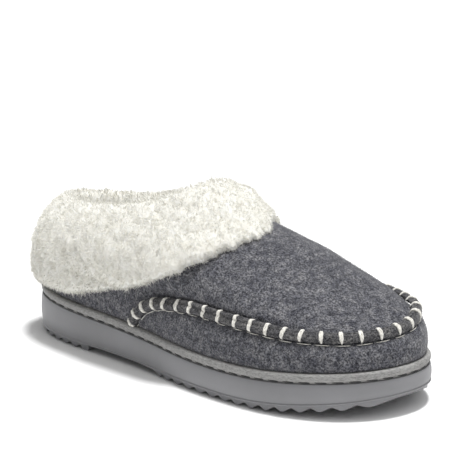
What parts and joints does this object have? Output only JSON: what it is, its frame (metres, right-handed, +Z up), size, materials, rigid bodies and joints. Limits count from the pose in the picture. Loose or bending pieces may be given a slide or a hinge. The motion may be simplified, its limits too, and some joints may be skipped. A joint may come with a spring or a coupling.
{
  "type": "clog slipper",
  "caption": "Right-foot clog slipper with a ribbed platform sole, hollow felt upper, raised whip-stitched toe seam and a deep fleece cuff round the collar.",
  "frame": {"origin": "on the floor, under the middle of the whole slipper's box", "axes": "+X to the toe, +Y to the inner side of the foot, +Z up from the floor"},
  "size_m": [0.2726, 0.1038, 0.0996],
  "materials": {
    "outsole_rubber": "satin moulded grey rubber",
    "welt_wrap": "matt fine-textured wrap",
    "felt": "matt heathered wool felt",
    "fleece": "curly off-white pile",
    "stitch_yarn": "cream yarn"
  },
  "bodies": {
    "root": {"outsole": "outsole_rubber", "midsole": "welt_wrap", "insole": "fleece", "upper": "felt", "toe_seam": "felt", "cuff": "fleece"}
  },
  "joints": []
}
